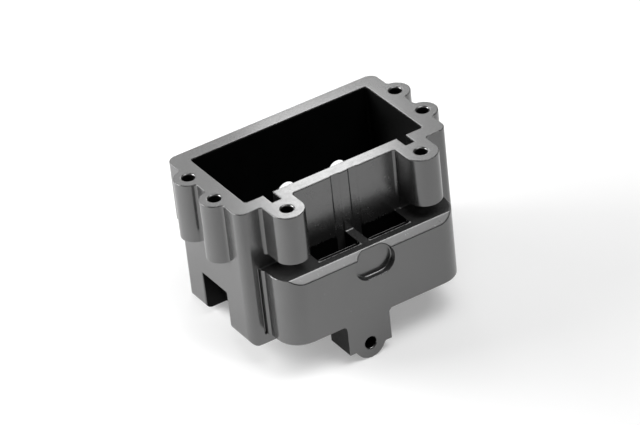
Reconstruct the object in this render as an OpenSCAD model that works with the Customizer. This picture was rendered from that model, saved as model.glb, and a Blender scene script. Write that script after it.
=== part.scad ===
// Servo case: one moulded box. A standard servo drops into the pocket and is screwed down by its ears.
// X runs along the servo, Y from the front block to the back wall, Z up.
// The origin is the centre of the four servo screws, on the flat rim.

/* [Servo pocket] */
// Length of the pocket, along the servo
pocket_l = 42.2; // [41:0.1:43]
// Width of the pocket, across the servo
pocket_w = 21; // [20.4:0.1:22]
// Depth of the pocket below the rim
pocket_h = 29; // [27:0.5:34]
// Radius in the pocket's upright corners
pocket_r = 0.7; // [0.4:0.1:1.5]
// Thickness of the floor under the servo
floor_t = 2.5; // [1.5:0.1:4]

/* [Walls] */
// Thickness of the two end walls
end_wall = 3.8; // [3:0.1:5]
// Thickness of the front wall
front_wall = 3.3; // [2.6:0.1:4]
// Thickness of the back wall, in the band below the rim
back_wall = 3.2; // [2.4:0.1:4]
// Thickness of the back wall below that band
back_web = 1.1; // [0.9:0.1:2]
// Radius on the case's upright outer corners
corner_r = 2; // [1:0.1:2.5]
// Radius along the lower edge of the two end walls
skirt_r = 1.5; // [0.5:0.1:2]

/* [Servo screws] */
// Distance between the screws along the servo
ear_x = 49.5; // [48.8:0.1:50.5]
// Distance between the screws across the servo
ear_y = 10; // [9.5:0.1:10.5]
// Outer radius of a servo screw boss
ear_r = 3.15; // [2.8:0.05:3.6]
// Height of a servo screw boss
ear_h = 13.5; // [8:0.5:14]
// Radius of the fillet from a servo screw boss to the wall
ear_fillet = 0.7; // [0.4:0.1:1]

/* [Front lugs] */
// Distance between the two front lugs
lug_x = 31.6; // [29:0.1:33]
// From the front wall's face to a lug's hole
lug_reach = 3.85; // [3:0.05:5]
// Outer radius of a lug
lug_r = 3.6; // [3:0.05:4]
// Height of a lug
lug_h = 11; // [6:0.5:12]
// Radius of the fillet from a lug to the wall
lug_fillet = 0.8; // [0.4:0.1:1.2]
// Width of the relief slot in the pocket wall behind each lug
slot_w = 2.2; // [1.5:0.1:3]
// Depth of that slot, from the pocket's wall
slot_d = 3.4; // [2:0.1:3.8]
// Thickness of the lug's foot left under the slot
slot_floor = 1.5; // [1:0.1:4]

/* [Screw holes] */
// Diameter of the pilot holes for the self-tapping screws
pilot_d = 2.6; // [2:0.1:3]
// Width of the lead-in chamfer at a pilot hole's mouth
lead_in = 0.2; // [0.1:0.05:0.4]
// Depth of the pilot holes in the rim
pilot_h = 9.5; // [5:0.5:10]

/* [Front wall face] */
// How far the face between the lugs lies behind the face beside them
face_relief = 0.25; // [0.1:0.05:0.6]
// Width of the shallow channel in the middle of that face
channel_w = 6.1; // [4:0.1:10]
// Depth of the channel
channel_d = 0.2; // [0.1:0.05:0.4]
// Width of the flat rib in the channel
channel_rib = 2; // [1:0.1:3]

/* [Front block] */
// Gap between the lugs and the top of the block
block_gap = 2.9; // [1:0.1:5]
// Width of the block
block_w = 42; // [36:0.5:43]
// How far the block stands out from the front wall
block_d = 8.65; // [8:0.05:12]
// How far the block's underside lies above the case's underside
block_rise = 2.2; // [0.5:0.1:5]
// Radius on the block's upright front corners
block_r = 5.2; // [3:0.1:7]
// Width of the chamfer along the block's top front edge
block_chamfer = 1.4; // [0.5:0.1:2]
// How far the facet at the block's root stands out from the block's side
facet_w = 0.45; // [0.3:0.05:0.7]
// From the front wall to the facet's outer edge
facet_step = 0.3; // [0.1:0.05:0.5]
// From the front wall to where the facet meets the block's side
facet_d = 1.2; // [0.8:0.1:2]
// Width and depth of the relief groove beside the facet
groove_w = 0.5; // [0.3:0.05:0.7]

/* [Block windows] */
// Length of each of the two windows in the top of the block
window_l = 9.8; // [7:0.1:11]
// Width of the rib between the windows
window_rib = 2; // [1.4:0.1:4]
// Thickness of the block's front wall, in front of the windows
window_lip = 3.2; // [2.2:0.1:4]
// Thickness of the block's floor under the windows
window_floor = 2.5; // [1.5:0.1:4]
// Radius in the windows' front corners
window_r = 0.7; // [0.4:0.1:1.5]
// How far the ledge in each window lies below the block's top
ledge_drop = 0.4; // [0.3:0.1:1]
// How far that ledge stands out from the block's front wall
ledge_w = 1.3; // [1:0.1:1.4]
// Radius on the ledge's two corners
ledge_r = 1; // [0.5:0.1:1]

/* [Front recess] */
// Length of the round-ended recess in the block's face
recess_l = 9.3; // [8:0.1:14]
// Height of the recess
recess_h = 6.4; // [4:0.1:8]
// Depth of the recess
recess_d = 1.4; // [0.5:0.1:1.6]
// From the block's top down to the recess
recess_drop = 0.3; // [0.2:0.1:2]

/* [Foot tab] */
// From the middle of the case to the middle of the tab
tab_x = 2.95; // [0:0.05:8]
// Width of the tab
tab_w = 10; // [9:0.1:14]
// How far the tab hangs below the block
tab_h = 7.1; // [6:0.1:10]
// Thickness of the tab, from its face to its back
tab_t = 7.2; // [3:0.1:8]
// From the block's underside down to the tab's hole
tab_hole_z = 6.1; // [5:0.1:7]
// Radius of the round end about that hole
tab_r = 3.5; // [2.8:0.1:4]
// Radius of the fillet between the tab and the block
tab_fillet = 1; // [0.5:0.1:2]
// Radius of the fillet between the round end and the tab
tab_neck = 0.6; // [0.3:0.1:0.8]

/* [Lead notch] */
// Width of the notch for the servo's lead, in the left end wall
notch_w = 9.5; // [6:0.1:12]
// Height of the notch, from the case's underside
notch_h = 9.1; // [5:0.1:12]
// From the middle of the pocket's width to the middle of the notch
notch_y = 0.45; // [-2:0.05:2]
// How far the notch runs into the floor, past the end wall
notch_in = 1; // [0.5:0.1:4]

/* [Back wall holes] */
// Diameter of the three fixing holes through the web
fix_d = 4.3; // [3:0.1:5]
// Distance from hole to hole
fix_pitch = 12.4; // [10:0.1:16]
// Depth of the holes' centres below the rim
fix_z = 16.7; // [16.5:0.1:22]

/* [Hidden] */
$fn = 96;
// Overlap that keeps joined shapes and cuts from sharing a face
e = 0.02;
// How far a fillet's arc dips into its boss, so that the two cross instead of touching
bite = 0.002;

case_h = pocket_h + floor_t;
case_x = pocket_l / 2 + end_wall;
front_y = -pocket_w / 2 - front_wall;
back_y = pocket_w / 2 + back_wall;
web_y = pocket_w / 2 + back_web;
relief_y = front_y + face_relief;
lug_y = front_y - lug_reach;
slot_y = -pocket_w / 2 - slot_d;
block_top = -lug_h - block_gap;
block_bottom = -case_h + block_rise;
block_h = block_top - block_bottom;
block_y = front_y - block_d;
window_y = block_y + window_lip;
recess_z = block_top - recess_drop - recess_h / 2;
tab_hole = block_bottom - tab_hole_z;
tab_foot = block_bottom - tab_h;

// Rectangle from a low corner to a high corner
module span(low, high) {
    translate(low) square(high - low);
}

// Rectangle with its four corners rounded, as true arcs
module rounded(low, high, r) {
    span(low + [r, 0], high - [r, 0]);
    span(low + [0, r], high - [0, r]);
    for (x = [low.x + r, high.x - r], y = [low.y + r, high.y - r])
        translate([x, y]) circle(r);
}

// Rectangle with its two front corners rounded, as true arcs
module front_rounded(low, high, r) {
    span(low + [r, 0], high - [r, 0]);
    span(low + [0, r], high);
    for (x = [low.x + r, high.x - r])
        translate([x, low.y + r]) circle(r);
}

// Fills the right angle at the origin, open towards +X and +Y, with an arc
module inner_fillet(r) {
    difference() {
        span([-e, -e], [r, r]);
        translate([r, r]) circle(r);
    }
}

// Fills the gap on the +Y side between a boss about the origin and a wall that ends at x = wall
module boss_fillet(boss, wall, r) {
    centre_x = wall + r;
    centre_y = sqrt(pow(boss + r - bite, 2) - pow(centre_x, 2));
    difference() {
        polygon([[0, 0], [centre_x, centre_y], [-boss / 2, centre_y], [-boss / 2, 0]]);
        translate([centre_x, centre_y]) circle(r);
    }
}

// Straight pilot hole from the origin down -Z, with its lead-in chamfer
module pilot(h) {
    translate([0, 0, -h]) cylinder(d = pilot_d, h = h + e);
    translate([0, 0, -lead_in])
        cylinder(r1 = pilot_d / 2, r2 = pilot_d / 2 + lead_in + e, h = lead_in + e);
}

// Places its children at the four servo screws
module at_ears() {
    for (x = [-ear_x / 2, ear_x / 2], y = [-ear_y / 2, ear_y / 2])
        translate([x, y]) children();
}

// Places its children on the right side and mirrored on the left side
module both_sides() {
    children();
    mirror([1, 0]) children();
}

// Outer box, with the lower edges of its end walls rounded
module box_shell() {
    intersection() {
        translate([0, 0, -case_h])
            linear_extrude(case_h)
                rounded([-case_x, front_y], [case_x, back_y], corner_r);
        translate([0, back_y + e])
            rotate([90, 0])
                linear_extrude(back_y - front_y + 2 * e) {
                    rounded([-case_x, -case_h], [case_x, -corner_r], skirt_r);
                    span([-case_x, -case_h / 2], [case_x, 0]);
                }
    }
}

// Cut that thins the back wall below the band at the rim
module web_cut() {
    translate([0, 0, -case_h - e])
        linear_extrude(case_h - ear_h + e)
            difference() {
                span([-case_x - e, front_y + corner_r], [case_x + e, back_y + e]);
                rounded([-case_x, front_y], [case_x, web_y], corner_r);
            }
}

// Servo screw bosses on the end walls, with fillets on both flanks
module ear_bosses() {
    translate([0, 0, -ear_h])
        linear_extrude(ear_h)
            both_sides()
                for (y = [-ear_y / 2, ear_y / 2], side = [0, 1])
                    translate([ear_x / 2, y]) mirror([0, side]) {
                        circle(ear_r);
                        boss_fillet(ear_r, case_x - ear_x / 2, ear_fillet);
                    }
}

// Front lugs, each a round end on a straight neck, hanging clear of the block
module front_lugs() {
    translate([0, 0, -lug_h])
        linear_extrude(lug_h)
            both_sides()
                translate([lug_x / 2, 0]) {
                    translate([0, lug_y]) circle(lug_r);
                    span([-lug_r, lug_y], [lug_r, front_y + face_relief + e]);
                    translate([lug_r, front_y]) mirror([0, 1]) inner_fillet(lug_fillet);
                    translate([-lug_r, relief_y]) rotate(180) inner_fillet(lug_fillet);
                }
}

// Plan of the shallow channel, on both sides of its flat rib
module channel_plan() {
    both_sides()
        span([channel_rib / 2, front_y], [channel_w / 2, relief_y + channel_d]);
}

// Face between the lugs: relieved, with the shallow channel and its flat rib
module face_cut() {
    translate([0, 0, block_top])
        linear_extrude(e - block_top) {
            span([lug_r - lug_x / 2, front_y - e], [lug_x / 2 - lug_r, relief_y]);
            channel_plan();
        }
}

// Plan of the front block, with the facets at its root
module block_plan() {
    rounded([-block_w / 2, block_y], [block_w / 2, front_y + block_r], block_r);
    both_sides()
        translate([block_w / 2, front_y])
            polygon([[-facet_d, e], [0, -facet_d], [facet_w, -facet_step], [facet_w, e]]);
}

// Front block with the chamfer along its top front edge
module front_block() {
    difference() {
        translate([0, 0, block_bottom]) linear_extrude(block_h) block_plan();
        translate([-block_w, block_y, block_top])
            rotate([45, 0])
                translate([0, -block_d, -block_chamfer / sqrt(2)])
                    cube([2 * block_w, 2 * block_d, block_d]);
    }
}

// Upright relief grooves in the front wall, beside the block, with round lower ends
module grooves() {
    both_sides()
        translate([(block_w + groove_w) / 2 + facet_w, front_y + groove_w, block_bottom + groove_w / 2])
            rotate([90, 0])
                linear_extrude(groove_w + e) {
                    circle(d = groove_w);
                    span([-groove_w / 2, 0], [groove_w / 2, block_h]);
                }
}

// Plan of the ledge in the right window, whose round corners run into the window's side walls
module ledge_plan() {
    low = [window_rib / 2 - ledge_r / 8, -window_y - ledge_w];
    high = [window_rib / 2 + window_l + ledge_r / 8, e - window_y];
    mirror([0, 1]) front_rounded(low, high, ledge_r);
}

// The two windows in the top of the block, which the channel runs down into
module windows() {
    difference() {
        translate([0, 0, block_bottom + window_floor])
            linear_extrude(block_h - window_floor + e) {
                both_sides()
                    front_rounded([window_rib / 2, window_y], [window_rib / 2 + window_l, relief_y], window_r);
                intersection() {
                    channel_plan();
                    span([-window_rib / 2 - window_l, front_y], [window_rib / 2 + window_l, back_y]);
                }
            }
        translate([0, 0, block_bottom])
            linear_extrude(block_h - ledge_drop)
                both_sides() ledge_plan();
    }
}

// Round-ended recess in the block's face
module face_recess() {
    translate([0, block_y + recess_d, recess_z])
        rotate([90, 0])
            linear_extrude(recess_d + e) {
                span([recess_h - recess_l, -recess_h] / 2, [recess_l - recess_h, recess_h] / 2);
                both_sides()
                    translate([(recess_l - recess_h) / 2, 0]) circle(recess_h / 2);
            }
}

// Face of the foot tab, with its round end and the fillets at its roots
module tab_face() {
    span([-tab_w / 2, tab_foot], [tab_w / 2, block_bottom + e]);
    translate([0, tab_hole]) circle(tab_r);
    both_sides() {
        translate([tab_w / 2, block_bottom]) mirror([0, 1]) inner_fillet(tab_fillet);
        translate([0, tab_hole]) rotate(-90)
            boss_fillet(tab_r, tab_hole - tab_foot, tab_neck);
    }
}

// Foot tab, flush with the block's face
module foot_tab() {
    translate([-tab_x, block_y + tab_t])
        rotate([90, 0])
            linear_extrude(tab_t) tab_face();
}

// Notch for the servo's lead, open at the underside
module lead_notch() {
    translate([-case_x - e, -notch_y - notch_w / 2, -case_h - e])
        cube([end_wall + notch_in + e, notch_w, notch_h + e]);
}

// Pocket for the servo
module pocket() {
    translate([0, 0, -pocket_h])
        linear_extrude(pocket_h + e)
            rounded([-pocket_l, -pocket_w] / 2, [pocket_l, pocket_w] / 2, pocket_r);
}

// Relief slots in the pocket's front wall, behind the lugs
module slots() {
    translate([0, 0, slot_floor - lug_h])
        linear_extrude(lug_h)
            both_sides()
                span([(lug_x - slot_w) / 2, slot_y], [(lug_x + slot_w) / 2, 0]);
}

// Fixing holes through the web of the back wall
module fixing_holes() {
    for (i = [-1:1])
        translate([i * fix_pitch, back_y, -fix_z])
            rotate([90, 0])
                cylinder(d = fix_d, h = back_y);
}

// All the pilot holes
module pilots() {
    at_ears() pilot(pilot_h);
    for (x = [-lug_x / 2, lug_x / 2])
        translate([x, lug_y]) pilot(pilot_h);
    translate([-tab_x, block_y, tab_hole])
        rotate([90, 0])
            pilot(tab_t + e);
}

// The case, moulded in one piece
module servo_case() {
    color("#26272a")
        difference() {
            union() {
                difference() {
                    box_shell();
                    web_cut();
                    face_cut();
                }
                ear_bosses();
                front_lugs();
                front_block();
                foot_tab();
            }
            pocket();
            slots();
            grooves();
            windows();
            face_recess();
            lead_notch();
            fixing_holes();
            pilots();
        }
}

servo_case();
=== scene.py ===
"""Servo case: one black moulding, leaning on its foot tab and the lower edge of its back wall."""

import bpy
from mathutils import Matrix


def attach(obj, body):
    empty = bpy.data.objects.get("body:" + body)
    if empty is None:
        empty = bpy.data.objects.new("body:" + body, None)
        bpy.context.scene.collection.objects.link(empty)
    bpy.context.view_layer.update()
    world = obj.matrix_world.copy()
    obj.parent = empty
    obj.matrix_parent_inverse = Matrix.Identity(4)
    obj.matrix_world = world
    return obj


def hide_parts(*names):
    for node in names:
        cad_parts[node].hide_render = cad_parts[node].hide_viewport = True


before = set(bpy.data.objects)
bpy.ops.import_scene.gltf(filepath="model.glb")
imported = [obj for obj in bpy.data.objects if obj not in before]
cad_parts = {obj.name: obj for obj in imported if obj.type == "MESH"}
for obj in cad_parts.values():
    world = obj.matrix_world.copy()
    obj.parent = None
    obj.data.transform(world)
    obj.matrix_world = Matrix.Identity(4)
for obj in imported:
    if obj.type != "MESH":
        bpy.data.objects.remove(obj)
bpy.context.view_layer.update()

import math

import bpy
from mathutils import Matrix, Vector

MM = 0.001
NODE = "servo_case"
RIGHT = Vector((1, 0, 0))

# The photograph's camera, in the row frame
CAMERA_AT = (-0.31366, -0.56381, 0.40246)
CAMERA_RIGHT = (0.83761132, -0.53807256, -0.09426137)
CAMERA_DOWN = (-0.36217794, -0.41783329, -0.83321214)
CAMERA_LENS = 213.75
CAMERA_NEAR, CAMERA_FAR = 0.05, 20
SENSOR_WIDTH = 36

# Where the case touches the floor, as y and z in mm: the foot tab's round end, and the lower edge
# of the back wall
TAB_TOUCH = (-22.45, -38.9)
BACK_TOUCH = (11.6, -31.5)
FLOOR_HALF = 3.0

# Rounding that the mould leaves on every edge: the grid that the surface is rebuilt on, in mm, its
# smoothing, and the share of the faces that is kept
WELD = 1e-7
GRID = 0.12
SMOOTH_STEPS = 3
SMOOTH_SHARE = 0.5
KEEP_SHARE = 0.15

# Soft lamps: compass angle about the floor's normal (0 is the front, 90 the right), height angle,
# distance, size, watts
LAMPS = (
    ("rear_left", 240, 22, 0.3, 0.15, 1.0),
    ("rear_left_wide", 225, 10, 0.9, 0.45, 4.5),
    ("rear", 180, 22, 0.3, 0.15, 0.08),
    ("rear_right", 150, 22, 0.3, 0.15, 0.085),
    ("rim_glint", 154, 30, 0.15, 0.03, 0.014),
    ("right_high", 60, 68, 0.3, 0.15, 0.38),
    ("top", 0, 90, 0.9, 0.45, 2.0),
)
LAMP_CENTRE = (0, -0.004, -0.018)
WORLD_LIGHT = 0.1

# The paper: its grey as a source of light, and how much of its white is a glow
PAPER_GREY = 0.8
PAPER_GLOW = 0.3

# Finishes: name, grey, index of refraction, roughness, and the noise level that dust starts at
OUTSIDE, PAINTED_SHADE_INSIDE, BAY, CHAMFER_PAINTED_LIGHT, PAINTED_HIGHLIGHT, TAB_SIDE_SHADE = range(6)
FINISHES = (
    ("outside", 0.03, 2.1, 0.22, 0.73),
    # A nearly black, dull finish for the hollows: painted shade
    ("inside_painted_shade", 0.002, 1.2, 0.5, 0.76),
    ("bay", 0.03, 2.1, 0.25, 0.72),
    # A lighter grey than the outside for the chamfer: painted light for the light its slant
    # catches; its denser specks are dust
    ("chamfer", 0.04, 2.1, 0.30, 0.66),
    # A pale finish that paints highlight lines along the windows' front edges
    ("painted_highlight_line", 0.3, 1.6, 0.35, 0.73),
    # A nearly black, dull finish for the foot tab's sides: painted shade for the shadow they lie in
    ("tab_side_painted_shade", 0.005, 1.25, 0.4, 0.75),
)

# Where the finishes change, in mm. Below the rim's edge the hollows start, which take a nearly
# black,
# dull finish: painted shade for the shade that falls in them. A box is its ranges of |x|, y and z,
# except that the notch and the tab lie on one side, so theirs has x itself.
RIM_EDGE = 0.35
ANY = 99
POCKET_BOX = ((-1, 21.4), (-10.8, 10.8), (-ANY, -RIM_EDGE))
SLOT_BOX = ((14.4, 17.2), (-14.2, -10), (-10.2, -RIM_EDGE))
WINDOW_BOX = ((0.8, 11), (-19.5, -13.4), (-28, -14.1))
BAY_BOX = ((-1, 12.15), (-14, -13), (-13.9, -RIM_EDGE))
CHAMFER_BOX = ((-1, ANY), (-ANY, -20.9), (-15.4, -13.8))
NOTCH_BOX = ((-24.6, -19), (-5.45, 4.55), (-ANY, -22.2))
TAB_BOX = ((-8.25, 2.35), (-22.3, -14), (-ANY, -29.5))

# The screw holes: places on the rim, depth, the foot hole's x and z, where its face ends, and reach
RIM_HOLES = ((24.75, 5), (24.75, -5), (15.8, -17.65))
RIM_HOLE_DEPTH = 10.2
FOOT_HOLE = (-2.95, -35.4)
FOOT_FACE = -22.1
HOLE_REACH = 1.45

# The windows' painted highlights, light lines painted along their front edges where the light
# catches them: their span of |x|, the y and z that each runs along, and the line's reach
HIGHLIGHT_SPAN = (0.9, 11)
HIGHLIGHT_LINES = ((-19.25, -13.9), (-17.95, -14.3))
HIGHLIGHT_REACH = 0.2

# Normals: a tab side's least share of x, and a chamfer's most of y, least of z and most of x
TAB_SIDEWAYS = 0.6
CHAMFER_FRONT, CHAMFER_UP, CHAMFER_SIDEWAYS = -0.5, 0.5, 0.3

# Grains per metre: cloudy tone, patches of gloss, specks of dust, and the moulded grain
CLOUD, PATCHES, SPECKS, GRAIN = 180, 700, 1900, 5200
NOISE_LOW, NOISE_HIGH = 0.3, 0.7   # most of a noise's levels lie between these
CLOUDY = 0.2                       # share of the grey by which the tone varies
UNEVEN = 0.03                      # roughness by which the gloss varies
DUST_GREY = 0.22
DUST_FADE = 0.06                   # noise levels over which a speck fades in
GRAIN_STRENGTH = 0.06
GRAIN_DEPTH = 0.04 * MM


def link(name, data):
    """A new object in the scene."""
    obj = bpy.data.objects.new(name, data)
    bpy.context.scene.collection.objects.link(obj)
    return obj


def make_case():
    """The case itself: the CAD shape with its edges rounded as a mould leaves them."""
    case = link("case_moulding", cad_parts[NODE].data.copy())
    weld = case.modifiers.new("weld", "WELD")
    weld.merge_threshold = WELD
    grid = case.modifiers.new("grid", "REMESH")
    grid.mode = "VOXEL"
    grid.voxel_size = GRID * MM
    grid.use_smooth_shade = True
    smooth = case.modifiers.new("round_edges", "SMOOTH")
    smooth.factor = SMOOTH_SHARE
    smooth.iterations = SMOOTH_STEPS
    fewer = case.modifiers.new("fewer_faces", "DECIMATE")
    fewer.ratio = KEEP_SHARE
    case.modifiers.new("flat_faces", "WEIGHTED_NORMAL")
    shaped = case.evaluated_get(bpy.context.evaluated_depsgraph_get())
    case.data = bpy.data.meshes.new_from_object(shaped)
    case.modifiers.clear()
    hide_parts(NODE)
    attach(case, "root")
    return case


def within(place, box):
    """Whether a place lies in a box."""
    return all(low < value < high for value, (low, high) in zip(place, box))


def near(place, spots, reach):
    """Whether a place in a plane lies within reach of one of the spots."""
    return any(math.dist(place, spot) < reach for spot in spots)


def is_cavity(place, folded):
    """Whether a place lies in the windows, the notch or a screw hole."""
    x, y, z = place
    if within(folded, WINDOW_BOX) or within(place, NOTCH_BOX):
        return True
    if -RIM_HOLE_DEPTH < z < -RIM_EDGE and near(folded[:2], RIM_HOLES, HOLE_REACH):
        return True
    return y > FOOT_FACE and near((x, z), [FOOT_HOLE], HOLE_REACH)


def zone(place, normal):
    """Which finish a face of the case has, from its place in mm and its normal."""
    x, y, z = place
    folded = (abs(x), y, z)
    # Hollows get painted shade: the pocket and slot here, the windows, notch and screw holes below
    if within(folded, POCKET_BOX) or within(folded, SLOT_BOX):
        return PAINTED_SHADE_INSIDE
    # Painted highlight lines along the windows' front edges
    if HIGHLIGHT_SPAN[0] < abs(x) < HIGHLIGHT_SPAN[1] and near((y, z), HIGHLIGHT_LINES, HIGHLIGHT_REACH):
        return PAINTED_HIGHLIGHT
    if is_cavity(place, folded):
        return PAINTED_SHADE_INSIDE
    # The foot tab's sides get painted shade
    if within(place, TAB_BOX) and abs(normal.x) > TAB_SIDEWAYS:
        return TAB_SIDE_SHADE
    if within(folded, BAY_BOX):
        return BAY
    # The front-up slant of the chamfer gets a lighter grey: painted light
    slanted = normal.y < CHAMFER_FRONT and normal.z > CHAMFER_UP
    if within(folded, CHAMFER_BOX) and slanted and abs(normal.x) < CHAMFER_SIDEWAYS:
        return CHAMFER_PAINTED_LIGHT
    return OUTSIDE


def node(tree, kind, **values):
    """A shader node with its settings and sockets filled in."""
    made = tree.nodes.new(kind)
    for key, value in values.items():
        if hasattr(made, key):
            setattr(made, key, value)
        else:
            made.inputs[key.replace("_", " ")].default_value = value
    return made


def noise(tree, where, scale, detail, rough=0.5):
    """Noise at a scale in grains per metre."""
    made = node(tree, "ShaderNodeTexNoise", Scale=scale, Detail=detail, Roughness=rough)
    tree.links.new(where, made.inputs["Vector"])
    return made.outputs["Fac"]


def ramp(tree, source, low, high):
    """Maps a grey value from one pair of (value in, value out) to another."""
    made = node(tree, "ShaderNodeMapRange",
                From_Min=low[0], From_Max=high[0], To_Min=low[1], To_Max=high[1])
    tree.links.new(source, made.inputs["Value"])
    return made.outputs["Result"]


def blend(tree, share, low, high):
    """Blends a grey, or a socket that gives a colour, into another grey by a share."""
    made = node(tree, "ShaderNodeMix", data_type="RGBA")
    made.inputs["B"].default_value = (high, high, high, 1)
    if isinstance(low, float):
        made.inputs["A"].default_value = (low, low, low, 1)
    else:
        tree.links.new(low, made.inputs["A"])
    tree.links.new(share, made.inputs["Factor"])
    return made.outputs["Result"]


def make_finish(name, grey, ior, dull, dust):
    """Satin black moulding: cloudy tone, uneven gloss, fine grain, and specks of dust."""
    finish = bpy.data.materials.new(name)
    finish.use_nodes = True
    tree = finish.node_tree
    shader = tree.nodes["Principled BSDF"]
    where = tree.nodes.new("ShaderNodeTexCoord").outputs["Object"]
    shader.inputs["IOR"].default_value = ior

    cloud = ramp(tree, noise(tree, where, CLOUD, 3), (NOISE_LOW, 0), (NOISE_HIGH, 1))
    specks = ramp(tree, noise(tree, where, SPECKS, 2, 0.7), (dust, 0), (dust + DUST_FADE, 1))
    plain = blend(tree, cloud, grey * (1 - CLOUDY), grey * (1 + CLOUDY))
    tree.links.new(blend(tree, specks, plain, DUST_GREY), shader.inputs["Base Color"])

    patches = noise(tree, where, PATCHES, 4, 0.6)
    gloss = ramp(tree, patches, (NOISE_LOW, dull - UNEVEN), (NOISE_HIGH, dull + UNEVEN))
    tree.links.new(gloss, shader.inputs["Roughness"])

    bump = node(tree, "ShaderNodeBump", Strength=GRAIN_STRENGTH, Distance=GRAIN_DEPTH)
    tree.links.new(noise(tree, where, GRAIN, 3, 0.6), bump.inputs["Height"])
    tree.links.new(bump.outputs["Normal"], shader.inputs["Normal"])
    return finish


def mix_shaders(tree, share, first, second):
    """Mixes two shaders by a share, which is a number or a socket."""
    made = tree.nodes.new("ShaderNodeMixShader")
    if isinstance(share, float):
        made.inputs[0].default_value = share
    else:
        tree.links.new(share, made.inputs[0])
    tree.links.new(first, made.inputs[1])
    tree.links.new(second, made.inputs[2])
    return made.outputs[0]


def make_paper():
    """The floor's paper: pale grey as a source of light, white to the camera and in reflections."""
    paper = bpy.data.materials.new("floor_paper")
    paper.use_nodes = True
    tree = paper.node_tree
    tree.nodes.clear()
    dull = (PAPER_GREY, PAPER_GREY, PAPER_GREY, 1)
    grey = node(tree, "ShaderNodeBsdfDiffuse", Color=dull).outputs[0]
    white = node(tree, "ShaderNodeBsdfDiffuse", Color=(1, 1, 1, 1)).outputs[0]
    glow = node(tree, "ShaderNodeEmission", Strength=1).outputs[0]
    path = tree.nodes.new("ShaderNodeLightPath")
    seen = path.outputs["Is Camera Ray"]
    for ray in ("Is Glossy Ray", "Is Transmission Ray"):
        either = node(tree, "ShaderNodeMath", operation="MAXIMUM")
        tree.links.new(seen, either.inputs[0])
        tree.links.new(path.outputs[ray], either.inputs[1])
        seen = either.outputs[0]
    both = mix_shaders(tree, seen, grey, mix_shaders(tree, PAPER_GLOW, white, glow))
    out = tree.nodes.new("ShaderNodeOutputMaterial")
    tree.links.new(both, out.inputs["Surface"])
    return paper


def floor_run():
    """The floor's slope: it lies along the two places that the case rests on."""
    return Vector((0, BACK_TOUCH[0] - TAB_TOUCH[0], BACK_TOUCH[1] - TAB_TOUCH[1])).normalized()


def make_floor():
    """Plain floor under the two places that the case rests on."""
    run = floor_run()
    centre = Vector((0, *BACK_TOUCH)) * MM
    sides = ((-1, -1), (1, -1), (1, 1), (-1, 1))
    corners = [centre + (RIGHT * x + run * y) * FLOOR_HALF for x, y in sides]
    mesh = bpy.data.meshes.new("floor")
    mesh.from_pydata(corners, [], [(0, 1, 2, 3)])
    mesh.materials.append(make_paper())
    link("floor", mesh)


def make_lamp(name, way, distance, size, watts):
    """A soft square lamp, which the camera doesn't see, in one direction from the case."""
    data = bpy.data.lights.new(name, "AREA")
    data.shape = "SQUARE"
    data.size = size
    data.energy = watts
    lamp = link(name, data)
    lamp.visible_camera = False
    lamp.location = Vector(LAMP_CENTRE) + way * distance
    lamp.rotation_mode = "QUATERNION"
    lamp.rotation_quaternion = way.to_track_quat("Z", "Y")


def make_lights():
    """Plain soft studio light."""
    up = RIGHT.cross(floor_run())
    back = up.cross(RIGHT)
    for name, compass, height, distance, size, watts in LAMPS:
        turn = math.radians(compass)
        rise = math.radians(height)
        level = RIGHT * math.sin(turn) - back * math.cos(turn)
        make_lamp(name, level * math.cos(rise) + up * math.sin(rise), distance, size, watts)
    world = bpy.data.worlds.new("studio")
    world.use_nodes = True
    background = world.node_tree.nodes["Background"]
    background.inputs["Color"].default_value = (1, 1, 1, 1)
    background.inputs["Strength"].default_value = WORLD_LIGHT
    bpy.context.scene.world = world


def make_camera():
    """The camera, at the photograph's place and angle."""
    right = Vector(CAMERA_RIGHT)
    up = -Vector(CAMERA_DOWN)
    back = right.cross(up)
    data = bpy.data.cameras.new("camera")
    data.sensor_width = SENSOR_WIDTH
    data.lens = CAMERA_LENS
    data.clip_start = CAMERA_NEAR
    data.clip_end = CAMERA_FAR
    camera = link("camera", data)
    turn = Matrix((right, up, back)).transposed()
    camera.matrix_world = Matrix.Translation(CAMERA_AT) @ turn.to_4x4()
    bpy.context.scene.camera = camera


case = make_case()
case.data.materials.clear()
for finish in FINISHES:
    case.data.materials.append(make_finish(*finish))
for face in case.data.polygons:
    face.material_index = zone(face.center / MM, face.normal)
make_floor()
make_lights()
make_camera()
bpy.context.scene.view_settings.view_transform = "Standard"
